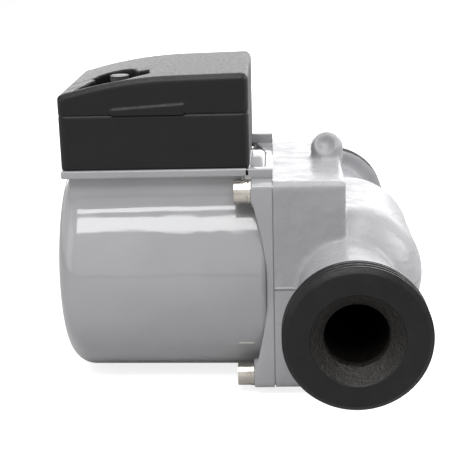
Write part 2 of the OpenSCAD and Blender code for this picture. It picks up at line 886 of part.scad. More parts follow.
// Outline of [x, z] of the cover, drawn in by inset
function cover_outline(inset, foot_z) =
    let (edge = inset > 0 ? inner_edge_r : cover_edge_r, far = inset + edge,
        span = box_l - 2 * far)
    concat([[box_rear_x - inset, foot_z]],
        arc([box_rear_x - far, box_top_z - top_drop(far) - far], edge, 0, 90),
        [for (i = [1 : top_steps - 1]) let (d = far + span * i / top_steps)
            [box_rear_x - d, box_top_z - inset - top_drop(d)]],
        arc([box_front_x + far, box_top_z - top_drop(box_l - far) - far], edge, 90, 180),
        [[box_front_x + inset, foot_z]]);

// A place on the box, from shares of its length and of its width
function on_box(share) = [box_front_x + share[0] * box_l, -box_y + share[1] * box_w];

module cover_form(inset, foot_z) {
    intersection() {
        along_y(-box_y + inset, box_w - 2 * inset) polygon(cover_outline(inset, foot_z));
        translate([0, 0, foot_z]) linear_extrude(cover_h + 2 * over) polygon(box_outline(inset));
    }
}

// The speed knob's recess, open at the top
module knob_recess() {
    translate([0, 0, pan_z]) linear_extrude(cover_h)
        polygon([for (share = window_shares) on_box(share)]);
    bar_z(pan_z, cover_h, pocket_r, on_box(pocket_shares));
    bar_z(pan_z, cover_h, knob_dial_d / 2 + air, on_box(knob_shares));
}

// Three short grooves in front of the recess, each longer than the last
module speed_marks() {
    difference() {
        for (share = mark_shares) {
            end = on_box(share);
            block([box_front_x + mark_inset, end[1] - mark_w / 2, cover_z],
                [end[0], end[1] + mark_w / 2, box_top_z]);
        }
        translate([0, 0, -mark_t]) along_y(-box_y, box_w) polygon(cover_outline(0, cover_z));
    }
}

// Four latches that hang inside the base's long walls
module cover_latches() {
    for (side = [0, 1], share = latch_shares) mirror([0, side, 0]) {
        x = box_front_x + share * box_l;
        block([x - latch_w / 2, box_y - box_wall - snug - latch_t, cover_z - latch_h],
            [x + latch_w / 2, box_y - box_wall - snug, cover_z + latch_h]);
        block([x - latch_w / 2, box_y - box_wall - latch_t, cover_z],
            [x + latch_w / 2, box_y - box_wall + over, cover_z + latch_h]);
    }
}

// Raised bar on the near wall, taller towards the tall end
module cover_bar() {
    x0 = box_front_x + bar_shares[0] * box_l;
    x1 = box_front_x + bar_shares[1] * box_l;
    along_y(-box_y - bar_proud, bar_proud + over)
        polygon([[x0, cover_z], [x1, cover_z], [x1, cover_z + bar_high], [x0, cover_z + bar_low]]);
}

module terminal_box_cover() {
    pan_end = on_box(pan_end_shares);
    color("#2b2b2b") at_pump_centre() difference() {
        union() {
            difference() {
                cover_form(0, cover_z);
                difference() {
                    cover_form(box_wall, cover_z - over);
                    block([box_front_x, -box_y, pan_z - pan_wall],
                        [pan_end[0], pan_end[1], box_top_z]);
                }
            }
            cover_latches();
            cover_bar();
        }
        knob_recess();
        speed_marks();
        bar_z(pan_z - pan_wall - over, pan_wall + 2 * over, knob_stem_r + air,
            on_box(knob_shares));
    }
}

module box_screws() {
    color("gainsboro") at_pump_centre() for (at = box_screw_places) floor_screw(at);
}

module floor_screw(at) {
    difference() {
        union() {
            bar_z(floor_z, box_screw_head, box_screw_head_r, at);
            bar_z(floor_z - box_screw_deep, box_screw_deep + over, box_screw_r, at);
        }
        translate([at[0], at[1], floor_z + box_screw_head - knob_slot_t]) for (turn = [0, 90])
            rotate([0, 0, turn]) block([-box_screw_r, -knob_slot_w / 2, 0],
                [box_screw_r, knob_slot_w / 2, knob_slot_t + over]);
    }
}

module speed_knob() {
    at = on_box(knob_shares);
    color("#3a3a3a") at_pump_centre() difference() {
        union() {
            bar_z(switch_top_z - stem_lap, dial_z - switch_top_z + stem_lap + over,
                knob_stem_r, at);
            bar_z(dial_z, dial_t, knob_dial_d / 2, at);
            bar_z(dial_z, knob_top_z - dial_z, knob_grip_d / 2, at);
        }
        translate([at[0], at[1], knob_top_z - knob_slot_t])
            block([-knob_grip_d, -knob_slot_w / 2, 0],
                [knob_grip_d, knob_slot_w / 2, knob_slot_t + over]);
    }
}

module speed_switch() {
    at = on_box(knob_shares);
    color("ivory") at_pump_centre() difference() {
        block([at[0] - switch_size / 2, at[1] - switch_size / 2, floor_z],
            [at[0] + switch_size / 2, at[1] + switch_size / 2, switch_top_z]);
        bar_z(switch_top_z - stem_lap - over, stem_lap + 2 * over, knob_stem_r + run, at);
    }
}

module capacitor() {
    color("whitesmoke") at_pump_centre() {
        bar_y(-capacitor_len / 2, capacitor_len, capacitor_r, [capacitor_x, capacitor_z]);
        for (side = [-1, 1])
            block([capacitor_x + side * tab_w - tab_w / 2, capacitor_len / 2 - over,
                    capacitor_z - tab_t / 2],
                [capacitor_x + side * tab_w + tab_w / 2, capacitor_len / 2 + tab_h,
                    capacitor_z + tab_t / 2]);
    }
}

module terminal_block() {
    color("ivory") at_pump_centre() difference() {
        block([block_x, block_y, floor_z],
            [block_x + block_l, block_y + block_w, floor_z + block_h]);
        for (at = pole_places) {
            bar_z(floor_z + block_h - pole_head, pole_head + over, pole_r + snug, at);
            bar_y(block_y + block_w / 2, block_w / 2 + over, wire_hole_r,
                [at[0], floor_z + block_h / 2]);
        }
    }
}

module terminal_screws() {
    color("gold") at_pump_centre() for (at = pole_places) difference() {
        bar_z(floor_z + block_h - pole_head, pole_head, pole_r, at);
        block([at[0] - pole_r - over, at[1] - knob_slot_w / 2, floor_z + block_h - knob_slot_t],
            [at[0] + pole_r + over, at[1] + knob_slot_w / 2, floor_z + block_h + over]);
    }
}

module earth_screw() {
    color("green") at_pump_centre() floor_screw(earth_place);
}

// A hexagon across the port axis, flat side up
module hex_y(y, length, across) {
    translate([gland_x, y, gland_z]) rotate([-90, 0, 0])
        cylinder(h = length, r = across / sqrt(3), $fn = 6);
}

module gland_body() {
    y0 = box_y - box_wall - locknut_t - snug;
    color("#303030") at_pump_centre() difference() {
        union() {
            bar_y(y0, box_wall + locknut_t + gland_flange_t + gland_thread + snug, gland_r,
                [gland_x, gland_z]);
            hex_y(box_y, gland_flange_t, gland_af);
        }
        bar_y(y0 - over, box_wall + locknut_t + gland_flange_t + gland_thread + 2 * over,
            gland_inner_r, [gland_x, gland_z]);
    }
}

module gland_locknut() {
    y0 = box_y - box_wall - locknut_t;
    color("#303030") at_pump_centre() difference() {
        hex_y(y0, locknut_t, gland_af);
        bar_y(y0 - over, locknut_t + 2 * over, gland_r + snug, [gland_x, gland_z]);
    }
}

module gland_seal() {
    y0 = box_y + gland_flange_t;
    color("dimgray") at_pump_centre() difference() {
        bar_y(y0, gland_thread, gland_inner_r - snug, [gland_x, gland_z]);
        bar_y(y0 - over, gland_thread + 2 * over, gland_seal_r, [gland_x, gland_z]);
    }
}

module gland_nut() {
    y0 = box_y + gland_flange_t + gland_nut_gap;
    color("#303030") at_pump_centre() difference() {
        hex_y(y0, gland_nut_t, gland_af);
        bar_y(y0 - over, gland_nut_t - gland_lip + over, gland_r + snug, [gland_x, gland_z]);
        bar_y(y0, gland_nut_t + over, gland_seal_r + gland_lip / 2, [gland_x, gland_z]);
    }
}

pump_housing();
neck_ring();
impeller();
impeller_shroud();
split_cone();
bearing_plate();
housing_gasket();
front_bearing();
rear_bearing();
thrust_bearing();
thrust_collar();
shaft();
rotor_core();
rotor_end_rings();
rotor_sleeve();
rotor_can();
stator_core();
stator_windings();
stator_leads();
stator_housing();
nameplate();
vent_screw();
vent_o_ring();
housing_screws();
spring_washers();
terminal_box_base();
box_gasket();
terminal_box_cover();
box_screws();
speed_knob();
speed_switch();
capacitor();
terminal_block();
terminal_screws();
earth_screw();
gland_body();
gland_locknut();
gland_seal();
gland_nut();
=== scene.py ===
# Circulation pump: grey enamelled castings, black lacquered port threads, black ABS terminal box.
# Lengths are in millimetres about the pump centre, where the port axis meets the motor axis,
# and become metres of the CAD frame in toFrame().
import json
import math
import bmesh
import bpy
import numpy as np
from mathutils import Matrix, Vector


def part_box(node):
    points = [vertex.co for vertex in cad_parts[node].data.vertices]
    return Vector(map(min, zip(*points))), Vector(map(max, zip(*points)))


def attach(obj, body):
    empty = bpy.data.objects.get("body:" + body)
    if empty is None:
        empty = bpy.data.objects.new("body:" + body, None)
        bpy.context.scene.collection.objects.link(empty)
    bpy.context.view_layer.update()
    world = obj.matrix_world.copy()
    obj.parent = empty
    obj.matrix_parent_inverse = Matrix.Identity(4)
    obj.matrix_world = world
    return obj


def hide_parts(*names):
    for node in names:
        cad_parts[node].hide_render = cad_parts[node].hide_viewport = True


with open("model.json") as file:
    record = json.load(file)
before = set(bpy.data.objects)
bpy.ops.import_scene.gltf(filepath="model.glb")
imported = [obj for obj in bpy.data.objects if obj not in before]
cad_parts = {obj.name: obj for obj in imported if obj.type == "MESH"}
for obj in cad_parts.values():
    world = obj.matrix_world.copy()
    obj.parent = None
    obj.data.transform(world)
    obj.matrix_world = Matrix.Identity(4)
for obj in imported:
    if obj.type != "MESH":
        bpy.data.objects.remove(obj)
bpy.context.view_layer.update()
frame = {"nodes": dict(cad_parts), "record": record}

mm = 0.001
mounts = {m["name"]: m for m in frame["record"]["mounts"]}
pumpCentre = (np.array(mounts["inlet_thread"]["pos_m"]) + mounts["outlet_thread"]["pos_m"]) / 2


def toFrame(points):
    return np.asarray(points, dtype=float) * mm + pumpCentre


def nodeBox(node):
    # Lowest and highest corner of a CAD node, in millimetres about the pump centre
    return [(np.array(corner) - pumpCentre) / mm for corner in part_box(node)]


# Colour and node helpers

def linearColour(hexText):
    # An sRGB hex colour as linear RGBA
    parts = np.array([int(hexText[i:i + 2], 16) / 255 for i in (1, 3, 5)])
    linear = np.where(parts <= 0.04045, parts / 12.92, ((parts + 0.055) / 1.055) ** 2.4)
    return (*[float(v) for v in linear], 1.0)


def addNode(tree, kind, settings=None, links=None):
    # A shader node with its properties and socket values set, and its inputs joined
    node = tree.nodes.new("ShaderNode" + kind)
    for key, value in (settings or {}).items():
        if isinstance(key, str) and hasattr(node, key):
            setattr(node, key, value)
        else:
            node.inputs[key].default_value = value
    for key, source in (links or {}).items():
        tree.links.new(source, node.inputs[key])
    return node


def startMaterial(name, surface):
    # A Principled material whose uniform values are set on the shader's own sockets
    material = bpy.data.materials.new(name)
    material.use_nodes = True
    tree = material.node_tree
    tree.nodes.clear()
    shader = addNode(tree, "BsdfPrincipled", surface)
    addNode(tree, "OutputMaterial", None, {"Surface": shader.outputs[0]})
    return material, tree, shader


def grain(tree, sizeMm, detail=3.0, roughness=0.5, stretch=(1, 1, 1)):
    # Noise whose features are sizeMm across, on Object coordinates
    place = addNode(tree, "TexCoord")
    mapping = addNode(tree, "Mapping", {"Scale": stretch}, {"Vector": place.outputs["Object"]})
    return addNode(tree, "TexNoise", {"Scale": 1 / (sizeMm * mm), "Detail": detail,
                                      "Roughness": roughness},
                   {"Vector": mapping.outputs[0]}).outputs[0]


def between(tree, factor, low, high, fromLow=0.3, fromHigh=0.7):
    # Remaps a 0..1 factor to a value between low and high
    return addNode(tree, "MapRange", {"From Min": fromLow, "From Max": fromHigh,
                                      "To Min": low, "To Max": high},
                   {"Value": factor}).outputs[0]


def blendColours(tree, factor, hexA, hexB):
    ramp = addNode(tree, "ValToRGB", None, {"Fac": factor})
    ramp.color_ramp.elements[0].position = 0.3
    ramp.color_ramp.elements[1].position = 0.7
    ramp.color_ramp.elements[0].color = linearColour(hexA)
    ramp.color_ramp.elements[1].color = linearColour(hexB)
    return ramp.outputs[0]


def bumpOf(tree, height, depthMm, strength=1.0, under=None):
    links = {"Height": height}
    if under is not None:
        links["Normal"] = under
    return addNode(tree, "Bump", {"Strength": strength, "Distance": depthMm * mm},
                   links).outputs[0]


# Materials

# What a user would change of each finish: colours, sizes and depths of the grain in mm
enamelLook = {"housingLight": "#AAAAAD", "housingDark": "#9F9FA2", "housingRoughness": 0.3,
              "sandGrainMm": 1.6, "sandDepthMm": 0.10, "swellMm": 9.0, "swellDepthMm": 0.9,
              "ridgeHalfMm": 0.8, "ridgeMm": 0.5,
              "motorLight": "#A8A8AA", "motorDark": "#A0A0A3", "motorRoughness": 0.09,
              "orangePeelMm": 2.6, "orangePeelDepthMm": 0.02, "rippleMm": 15.0,
              "rippleDepthMm": 0.55, "cloudMm": 22.0, "motorCloudMm": 30.0, "glossMm": 5.0}
lacquerLook = {"dark": "#111010", "light": "#1B191A", "cloudMm": 6.0, "pitMm": 1.1,
               "pitDepthMm": 0.09, "glossMm": 3.0, "smooth": 0.3, "dull": 0.48}
boreLook = {"dark": "#040404", "light": "#14110F", "cloudMm": 2.2, "lumpMm": 2.4,
            "lumpDepthMm": 0.55, "grainMm": 0.7, "grainDepthMm": 0.15}
sinkLook = {"dark": "#040404", "light": "#1C1814", "cloudMm": 0.9, "lumpMm": 2.4,
            "lumpDepthMm": 0.5, "grainMm": 0.8, "grainDepthMm": 0.42, "glossMm": 1.3,
            "smooth": 0.3, "dull": 0.65}
absLook = {"dark": "#0D0D0E", "light": "#111112", "cloudMm": 14.0, "sparkMm": 0.45,
           "sparkDepthMm": 0.035, "glossMm": 1.2, "smooth": 0.38, "dull": 0.5}


def sandCastEnamel():
    # Grey enamel sprayed on sand-cast iron: glossy film over a softly pitted, swelling skin
    look = enamelLook
    material, tree, shader = startMaterial("greyEnamelOnSandCastIron",
                                           {"Roughness": look["housingRoughness"], "IOR": 1.5,
                                            "Specular IOR Level": 0.35, "Coat Weight": 0.1,
                                            "Coat Roughness": 0.12})
    tree.links.new(blendColours(tree, grain(tree, look["cloudMm"], 2), look["housingDark"],
                                look["housingLight"]), shader.inputs["Base Color"])
    swell = bumpOf(tree, grain(tree, look["swellMm"], 2), look["swellDepthMm"])
    height = addNode(tree, "SeparateXYZ", None,
                     {"Vector": addNode(tree, "TexCoord").outputs["Object"]}).outputs["Z"]
    away = addNode(tree, "Math", {"operation": "ABSOLUTE"}, {0: height}).outputs[0]
    ridge = addNode(tree, "MapRange", {"interpolation_type": "SMOOTHSTEP", "From Min": 0.0,
                                       "From Max": look["ridgeHalfMm"] * mm, "To Min": 1.0,
                                       "To Max": 0.0}, {"Value": away}).outputs[0]
    parting = bumpOf(tree, ridge, look["ridgeMm"], 1, swell)
    sand = bumpOf(tree, grain(tree, look["sandGrainMm"], 4, 0.6), look["sandDepthMm"], 1, parting)
    tree.links.new(sand, shader.inputs["Normal"])
    tree.links.new(between(tree, grain(tree, look["glossMm"]), look["housingRoughness"] - 0.06,
                           look["housingRoughness"] + 0.1), shader.inputs["Roughness"])
    return material


def dieCastEnamel():
    # The same grey on die-cast aluminium: glossier, with slight orange peel and long ripples
    look = enamelLook
    material, tree, shader = startMaterial("greyEnamelOnDieCastAluminium",
                                           {"Roughness": look["motorRoughness"], "IOR": 1.5,
                                            "Coat Weight": 0.4, "Coat Roughness": 0.03})
    tree.links.new(blendColours(tree, grain(tree, look["motorCloudMm"], 2), look["motorDark"],
                                look["motorLight"]), shader.inputs["Base Color"])
    ripple = bumpOf(tree, grain(tree, look["rippleMm"], 2, 0.5, (0.6, 1, 1)),
                    look["rippleDepthMm"])
    peel = bumpOf(tree, grain(tree, look["orangePeelMm"], 2), look["orangePeelDepthMm"], 1, ripple)
    tree.links.new(peel, shader.inputs["Normal"])
    return material


def threadLacquer():
    # Black dip lacquer on machined threads: satin, with fine pits
    look = lacquerLook
    material, tree, shader = startMaterial("blackLacquerOnTurnedIron",
                                           {"Roughness": 0.36, "IOR": 1.5, "Specular IOR Level": 0.25})
    tree.links.new(blendColours(tree, grain(tree, look["cloudMm"]), look["dark"], look["light"]),
                   shader.inputs["Base Color"])
    pits = bumpOf(tree, grain(tree, look["pitMm"], 4, 0.65), look["pitDepthMm"])
    tree.links.new(pits, shader.inputs["Normal"])
    tree.links.new(between(tree, grain(tree, look["glossMm"]), look["smooth"], look["dull"]),
                   shader.inputs["Roughness"])
    return material


def rawBoreIron():
    # Raw sand-cast water ways: dark brown oxide, coarse and dull
    look = boreLook
    material, tree, shader = startMaterial("darkOxideInSandCastBore",
                                           {"Roughness": 0.75, "IOR": 1.45, "Specular IOR Level": 0.08})
    tree.links.new(blendColours(tree, grain(tree, look["cloudMm"], 5, 0.65), look["dark"],
                                look["light"]), shader.inputs["Base Color"])
    lumps = bumpOf(tree, grain(tree, look["lumpMm"], 4, 0.6), look["lumpDepthMm"])
    tree.links.new(bumpOf(tree, grain(tree, look["grainMm"], 3), look["grainDepthMm"], 1, lumps),
                   shader.inputs["Normal"])
    return material


def castSink():
    # The port's countersink as cast: coarse black-brown grains that catch the light
    look = sinkLook
    material, tree, shader = startMaterial("coarseCastCountersink",
                                           {"IOR": 1.5, "Specular IOR Level": 0.5})
    tree.links.new(blendColours(tree, grain(tree, look["cloudMm"], 5, 0.7), look["dark"],
                                look["light"]), shader.inputs["Base Color"])
    lumps = bumpOf(tree, grain(tree, look["lumpMm"], 4, 0.6), look["lumpDepthMm"])
    tree.links.new(bumpOf(tree, grain(tree, look["grainMm"], 3, 0.7), look["grainDepthMm"], 1,
                          lumps), shader.inputs["Normal"])
    tree.links.new(between(tree, grain(tree, look["glossMm"]), look["smooth"], look["dull"]),
                   shader.inputs["Roughness"])
    return material


def sparkedAbs():
    # Black flame-retardant ABS from a spark-eroded mould: fine matte grain, soft grazing sheen.
    # The real 0.1 mm grain is drawn as coarse as it needs to show
    look = absLook
    material, tree, shader = startMaterial("blackSparkErodedABS",
                                           {"Roughness": 0.42, "IOR": 1.53, "Specular IOR Level": 0.28})
    tree.links.new(blendColours(tree, grain(tree, look["cloudMm"]), look["dark"], look["light"]),
                   shader.inputs["Base Color"])
    tree.links.new(bumpOf(tree, grain(tree, look["sparkMm"], 3, 0.6), look["sparkDepthMm"]),
                   shader.inputs["Normal"])
    tree.links.new(between(tree, grain(tree, look["glossMm"]), look["smooth"], look["dull"]),
                   shader.inputs["Roughness"])
    return material


def mouldedPlastic(name, hexDark, hexLight, roughness=0.45):
    # Injection-moulded plastic with slight flow clouding and a fine grain
    material, tree, shader = startMaterial(name, {"Roughness": roughness, "IOR": 1.5})
    tree.links.new(blendColours(tree, grain(tree, 8), hexDark, hexLight),
                   shader.inputs["Base Color"])
    tree.links.new(bumpOf(tree, grain(tree, 0.5, 3), 0.02), shader.inputs["Normal"])
    return material


def workedMetal(name, hexDark, hexLight, roughness, scratchMm=0.5, stretch=(1, 1, 1)):
    # Bare metal: fine tool or brush marks along one direction, and slight tarnish clouds
    material, tree, shader = startMaterial(name, {"Metallic": 1.0, "Roughness": roughness})
    tree.links.new(blendColours(tree, grain(tree, 5), hexDark, hexLight),
                   shader.inputs["Base Color"])
    marks = grain(tree, scratchMm, 3, 0.6, stretch)
    tree.links.new(bumpOf(tree, marks, 0.012), shader.inputs["Normal"])
    tree.links.new(between(tree, marks, max(roughness - 0.08, 0.05), roughness + 0.1),
                   shader.inputs["Roughness"])
    return material


def mouldedRubber():
    # EPDM rubber, moulded: dull, nearly black, with a bloom of paler patches
    material, tree, shader = startMaterial("blackMouldedEPDM", {"Roughness": 0.7, "IOR": 1.5})
    tree.links.new(blendColours(tree, grain(tree, 3), "#141415", "#202021"),
                   shader.inputs["Base Color"])
    tree.links.new(bumpOf(tree, grain(tree, 0.6, 3), 0.04), shader.inputs["Normal"])
    return material


def sinteredCeramic(name, hexDark, hexLight):
    # Ground and polished oxide ceramic: dense, smooth, faintly mottled
    material, tree, shader = startMaterial(name, {"Roughness": 0.16, "IOR": 1.76})
    tree.links.new(blendColours(tree, grain(tree, 1.5, 4), hexDark, hexLight),
                   shader.inputs["Base Color"])
    tree.links.new(bumpOf(tree, grain(tree, 0.4, 2), 0.004), shader.inputs["Normal"])
    return material


finishes = {
    "castHousing": sandCastEnamel(),
    "castMotor": dieCastEnamel(),
    "threadBlack": threadLacquer(),
    "boreIron": rawBoreIron(),
    "sinkIron": castSink(),
    "boxAbs": sparkedAbs(),
    "knobPlastic": mouldedPlastic("blackMouldedPOM", "#2A2A2C", "#343436", 0.35),
    "nylon": mouldedPlastic("blackMouldedNylon", "#1D1D1E", "#262627", 0.5),
    "whitePlastic": mouldedPlastic("ivoryMouldedPBT", "#CFCABC", "#DAD6CA", 0.4),
    "impellerPlastic": mouldedPlastic("glassFilledPolyether", "#1C1F22", "#262A2D", 0.5),
    "stainlessBolt": workedMetal("polishedStainlessSteel", "#B4AEA6", "#CBC6BE", 0.2, 0.4),
    "stainlessSheet": workedMetal("drawnStainlessSteel", "#9FA0A1", "#B2B3B4", 0.28, 0.5, (0.2, 1, 1)),
    "coreSteel": workedMetal("stampedElectricalSteel", "#4C4E52", "#5C5E62", 0.45, 0.5, (8, 1, 1)),
    "castAluminium": workedMetal("pressureCastAluminium", "#9C9DA0", "#ACADB0", 0.42, 0.8),
    "plateAluminium": workedMetal("brushedAnodisedAluminium", "#A4A5A8", "#B4B5B8", 0.34, 0.25,
                                  (1, 1, 0.04)),
    "brass": workedMetal("turnedBrass", "#A9853F", "#BF9A4C", 0.26, 0.4),
    "copper": workedMetal("enamelledCopperWinding", "#7E3B1C", "#9A4E28", 0.34, 0.5, (1, 3, 3)),
    "rubber": mouldedRubber(),
    "ceramicDark": sinteredCeramic("carbonCeramic", "#1C1C1E", "#262628"),
    "ceramicWhite": sinteredCeramic("aluminaCeramic", "#D8D5CC", "#E4E1D8"),
    "leadSleeve": mouldedPlastic("brownSiliconeSleeve", "#40220F", "#553019", 0.55),
}
print("materials:", len(finishes))


# Mesh helpers

sharpDegrees = 40
sameSpot = 1e-7
weldDistance = 2e-6


def newPiece(name, mesh, finish, body, replaces=()):
    piece = bpy.data.objects.new(name, mesh)
    bpy.context.scene.collection.objects.link(piece)
    mesh.materials.clear()
    mesh.materials.append(finishes[finish])
    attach(piece, body)
    for node in replaces:
        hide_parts(node)
    return piece


def smoothShade(mesh):
    mesh.polygons.foreach_set("use_smooth", [True] * len(mesh.polygons))
    bm = bmesh.new()
    bm.from_mesh(mesh)
    limit = math.radians(sharpDegrees)
    for edge in bm.edges:
        edge.smooth = len(edge.link_faces) != 2 or edge.calc_face_angle(0) < limit
    bm.to_mesh(mesh)
    bm.free()


def gridMesh(name, points, wrapRows=False):
    # points is rows x columns x 3: neighbouring rows and columns share quads, the columns
    # close on themselves, and the last row joins the first when wrapRows is set
    rows, columns = points.shape[:2]
    index = np.arange(rows * columns).reshape(rows, columns)
    if wrapRows:
        index = np.vstack([index, index[:1]])
    nextColumn = np.roll(index, -1, axis=1)
    faces = np.stack([index[:-1], nextColumn[:-1], nextColumn[1:], index[1:]], axis=-1)
    mesh = bpy.data.meshes.new(name)
    mesh.from_pydata(toFrame(points.reshape(-1, 3)).tolist(), [], faces.reshape(-1, 4).tolist())
    bm = bmesh.new()
    bm.from_mesh(mesh)
    bmesh.ops.remove_doubles(bm, verts=bm.verts, dist=sameSpot)
    bmesh.ops.dissolve_degenerate(bm, edges=bm.edges, dist=sameSpot)
    bmesh.ops.recalc_face_normals(bm, faces=bm.faces)
    bm.to_mesh(mesh)
    bm.free()
    smoothShade(mesh)
    return mesh


def applied(piece):
    # The piece's mesh with its modifiers worked into it
    graph = bpy.context.evaluated_depsgraph_get()
    mesh = bpy.data.meshes.new_from_object(piece.evaluated_get(graph))
    piece.modifiers.clear()
    piece.data = mesh
    return mesh


def workingCopy(node):
    # A merged copy of a CAD node's mesh, as a loose object of its own
    mesh = frame["nodes"][node].data.copy()
    bm = bmesh.new()
    bm.from_mesh(mesh)
    bmesh.ops.remove_doubles(bm, verts=bm.verts, dist=weldDistance)
    bm.to_mesh(mesh)
    bm.free()
    copy = bpy.data.objects.new(node + "Copy", mesh)
    bpy.context.scene.collection.objects.link(copy)
    return copy


def softened(piece, voxelMm, passes):
    # Voxel remesh, then smoothing passes that round every edge by about a voxel each
    remesh = piece.modifiers.new("Remesh", "REMESH")
    remesh.mode = "VOXEL"
    remesh.voxel_size = voxelMm * mm
    remesh.use_smooth_shade = True
    smooth = piece.modifiers.new("Smooth", "SMOOTH")
    smooth.factor = 0.5
    smooth.iterations = passes
    return applied(piece)


def meshPoints(mesh):
    # Vertices in millimetres about the pump centre
    flat = np.empty(len(mesh.vertices) * 3)
    mesh.vertices.foreach_get("co", flat)
    return (flat.reshape(-1, 3) - pumpCentre) / mm


def polygonCentres(mesh):
    flat = np.empty(len(mesh.polygons) * 3)
    mesh.polygons.foreach_get("center", flat)
    return (flat.reshape(-1, 3) - pumpCentre) / mm


def setMeshPoints(mesh, points):
    mesh.vertices.foreach_set("co", toFrame(points).ravel())
    mesh.update()


def cutFlat(mesh, place, normal):
    # Cuts a closed mesh by a plane, drops what lies beyond it and closes the cut
    bm = bmesh.new()
    bm.from_mesh(mesh)
    spot = toFrame([place])[0]
    bmesh.ops.bisect_plane(bm, geom=bm.verts[:] + bm.edges[:] + bm.faces[:], dist=sameSpot,
                           plane_co=spot, plane_no=normal, clear_outer=True)
    rim = [e for e in bm.edges if len(e.link_faces) == 1]
    bmesh.ops.triangle_fill(bm, edges=rim, use_beauty=True, normal=normal)
    bm.to_mesh(mesh)
    bm.free()


turn = np.linspace(0, 2 * np.pi, 576, endpoint=False)


def roundedBoxReach(angle, halfY, halfZ, corner):
    # How far a rectangle with round corners reaches from its centre at an angle: the sharp
    # rectangle's reach, or the corner circle's where the ray meets that
    c, s = np.abs(np.cos(angle)), np.abs(np.sin(angle))
    sharp = np.minimum(halfY / np.maximum(c, 1e-9), halfZ / np.maximum(s, 1e-9))
    along = (halfY - corner) * c + (halfZ - corner) * s
    inside = along ** 2 - (halfY - corner) ** 2 - (halfZ - corner) ** 2 + corner ** 2
    onCircle = along + np.sqrt(np.maximum(inside, 0))
    isCorner = (sharp * c > halfY - corner) & (sharp * s > halfZ - corner) & (inside > 0)
    return np.where(isCorner, np.minimum(onCircle, sharp), sharp)


def smoothMax(a, b, blend):
    # The larger of two values, with a fillet of that size where they cross
    h = np.clip(0.5 + 0.5 * (a - b) / blend, 0, 1)
    return b + (a - b) * h + blend * h * (1 - h)


def easeStep(value, low, high):
    t = np.clip((value - low) / (high - low), 0, 1)
    return t * t * (3 - 2 * t)


# Motor casting

motorLow, motorHigh = nodeBox("stator_housing")
baseLow, baseHigh = nodeBox("terminal_box_base")
coverHigh = nodeBox("terminal_box_cover")[1]
housingLow, housingHigh = nodeBox("pump_housing")
plateReach = nodeBox("nameplate")[1][1]
coreReach = nodeBox("stator_core")[1][1]
washerRadius = 4.4
screwOffset = nodeBox("spring_washers")[1][1] - washerRadius
flangeMargin = (5.1, 4.25)
drumTaper = 0.5
coreGap = 0.1
plateGap = 0.05

motorCasting = {
    "frontX": motorLow[0], "jointX": motorHigh[0],
    "frontRadius": motorHigh[1] - drumTaper, "rearRadius": motorHigh[1],
    "edgeRound": 9.0, "rearRound": 1.8, "dishDrop": 1.9, "dishSlope": 0.42,
    "flangeHalfY": screwOffset + flangeMargin[0],
    "flangeHalfZ": screwOffset + flangeMargin[1], "flangeCorner": 2.4,
    "flangeThick": 7.8, "flangeMidThick": 2.9, "flangeEdge": 0.7,
    "jointGap": 0.4, "jointDeep": 0.9,
    "earRadius": 5.6, "earEaseIn": 0.5, "earEaseOut": 0.3, "screwOffset": screwOffset,
    "bedHalfY": 29.0, "bedTop": 40.0, "bedFrontX": -100.0, "bedRearX": -36.0, "bedFillet": 3.2,
    "bedCorner": 1.5, "bedEaseOut": 0.5, "bedEaseIn": 0.9, "bedFromSine": 0.3,
    "cavityRadius": coreReach + coreGap, "frontWall": 5.2,
    "ventHole": 5.35, "sealSeatRadius": 7.6, "sealSeatDepth": 1.7,
    "plateInner": 12.95, "plateOuter": plateReach + plateGap, "plateRecess": 0.6,
}


def motorSide(c):
    # Rows of [x, radius over the angle] along the drum: a circle that tapers, with a round
    # front edge, blended by smoothMax with the rectangular bed that carries the box
    edgeX = c["frontX"] + c["edgeRound"]
    arc = edgeX - c["edgeRound"] * np.cos(np.linspace(0, np.pi / 2, 26))
    rearX = c["jointX"] - c["flangeMidThick"] - c["rearRound"]
    steps = np.array([-0.5, -0.25, -0.1, 0.05, 0.2, 0.4, 0.7, 1.1, 1.6])
    xs = np.unique(np.round(np.concatenate([
        arc, np.linspace(edgeX, rearX, 46), c["bedFrontX"] + steps, c["bedRearX"] - steps]), 4))
    drum = np.where(
        xs < edgeX,
        c["frontRadius"] - c["edgeRound"]
        + np.sqrt(np.maximum(c["edgeRound"] ** 2 - (edgeX - xs) ** 2, 0)),
        c["frontRadius"] + (c["rearRadius"] - c["frontRadius"]) * (xs - edgeX) / (rearX - edgeX))
    bedReach = roundedBoxReach(turn, c["bedHalfY"], c["bedTop"], c["bedCorner"])
    bedReach = np.where(np.sin(turn) > c["bedFromSine"], bedReach, 0)
    easeOut = c["bedEaseOut"]
    easeIn = c["bedEaseIn"]
    present = (easeStep(xs, c["bedFrontX"] - easeOut, c["bedFrontX"] + easeIn)
               * (1 - easeStep(xs, c["bedRearX"] - easeIn, c["bedRearX"] + easeOut)))
    radius = smoothMax(drum[:, None] + 0 * turn, present[:, None] * bedReach, c["bedFillet"])
    return xs[:, None] + 0 * turn, radius


